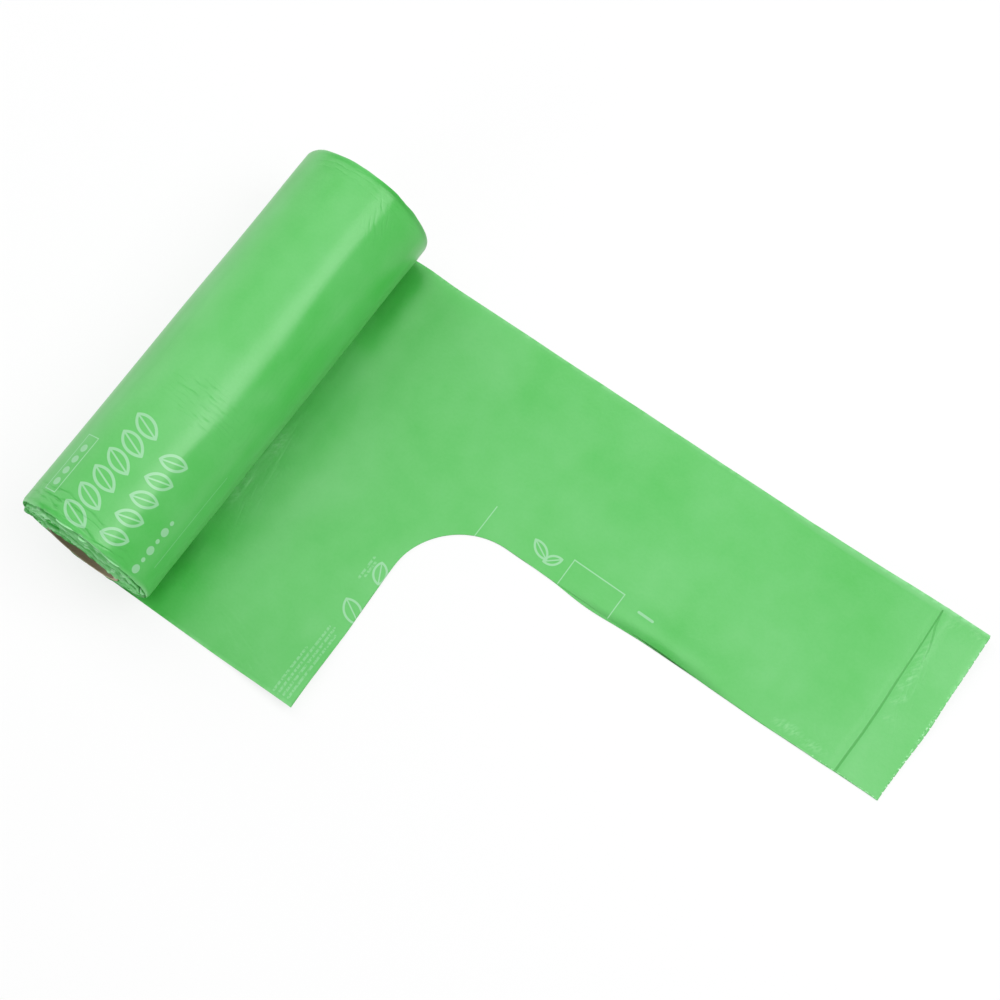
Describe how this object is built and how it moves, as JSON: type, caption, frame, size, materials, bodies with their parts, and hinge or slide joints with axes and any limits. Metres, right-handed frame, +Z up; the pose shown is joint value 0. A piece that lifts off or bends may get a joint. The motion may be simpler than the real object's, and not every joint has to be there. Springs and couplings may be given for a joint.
{
  "type": "bin bag roll",
  "caption": "Roll of green film bin bags with vest handles, wound on a cardboard tube, with the first bag's body and handle loop unrolled flat beside it.",
  "frame": {"origin": "on the floor, straight below the middle of the roll's width", "axes": "+Y along the tube's axis, +X the way the loose web leaves the roll, +Z up"},
  "size_m": [0.2741, 0.1515, 0.0498],
  "materials": {
    "cardboard": "matte",
    "bag_film": "soft sheen"
  },
  "bodies": {
    "root": {"core_tube": "cardboard", "bag_web": "bag_film"}
  },
  "joints": []
}
